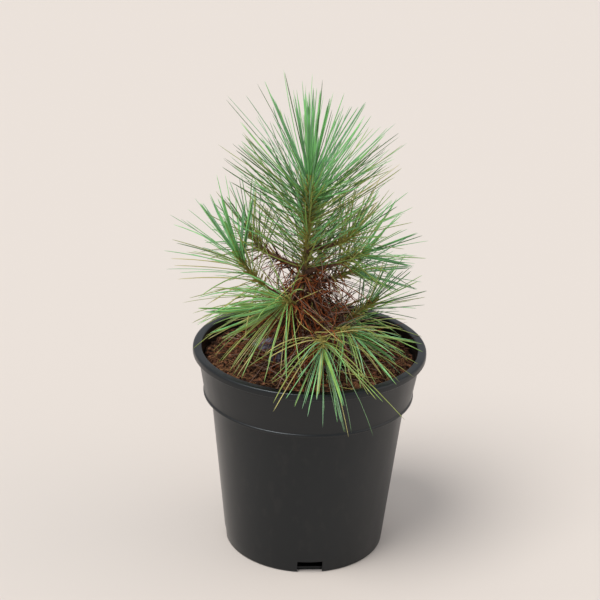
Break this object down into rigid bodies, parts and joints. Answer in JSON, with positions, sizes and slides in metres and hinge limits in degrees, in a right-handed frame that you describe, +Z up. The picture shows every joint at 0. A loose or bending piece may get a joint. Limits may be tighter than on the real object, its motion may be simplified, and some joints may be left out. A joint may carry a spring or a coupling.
{
  "type": "potted bristlecone pine seedling",
  "caption": "Young bristlecone pine with a short trunk, upcurved side shoots and tufts of needles, growing in soil in a round black plastic nursery pot.",
  "frame": {"origin": "centre of the pot's flat underside", "axes": "+Z up along the pot's axis, -Y towards the front, where one drain notch of the pot's foot shows, +X to the right seen from the front"},
  "size_m": [0.1165, 0.1305, 0.215],
  "materials": {
    "pot_plastic": "moulded black polypropylene, satin, lightly scuffed",
    "soil": "loose red-brown coir compost, rough",
    "bark": "young brown bark with scales and needle scars, rough",
    "green_needles": "waxy green needles, satin",
    "dead_needles": "dry red-brown needles, matt"
  },
  "bodies": {
    "root": {"pot": "pot_plastic", "soil": "soil", "trunk": "bark", "leader_top": "green_needles", "leader_upper": "green_needles", "leader_middle": "green_needles", "leader_lower": "dead_needles", "left_bough": "bark", "left_tuft": "green_needles", "back_left_bough": "bark", "back_left_tuft": "green_needles", "front_left_bough": "bark", "front_left_tuft": "green_needles", "front_bough": "bark", "front_tuft": "green_needles", "front_right_bough": "bark", "front_right_tuft": "green_needles", "right_low_bough": "bark", "right_low_tuft": "green_needles", "right_middle_bough": "bark", "right_middle_tuft": "green_needles", "right_upper_bough": "bark", "right_upper_tuft": "green_needles", "right_high_bough": "bark", "right_high_tuft": "green_needles", "back_high_bough": "bark", "back_high_tuft": "green_needles", "back_middle_bough": "bark", "back_middle_tuft": "green_needles", "back_low_bough": "bark", "back_low_tuft": "green_needles", "back_right_bough": "bark", "back_right_tuft": "green_needles"}
  },
  "joints": []
}
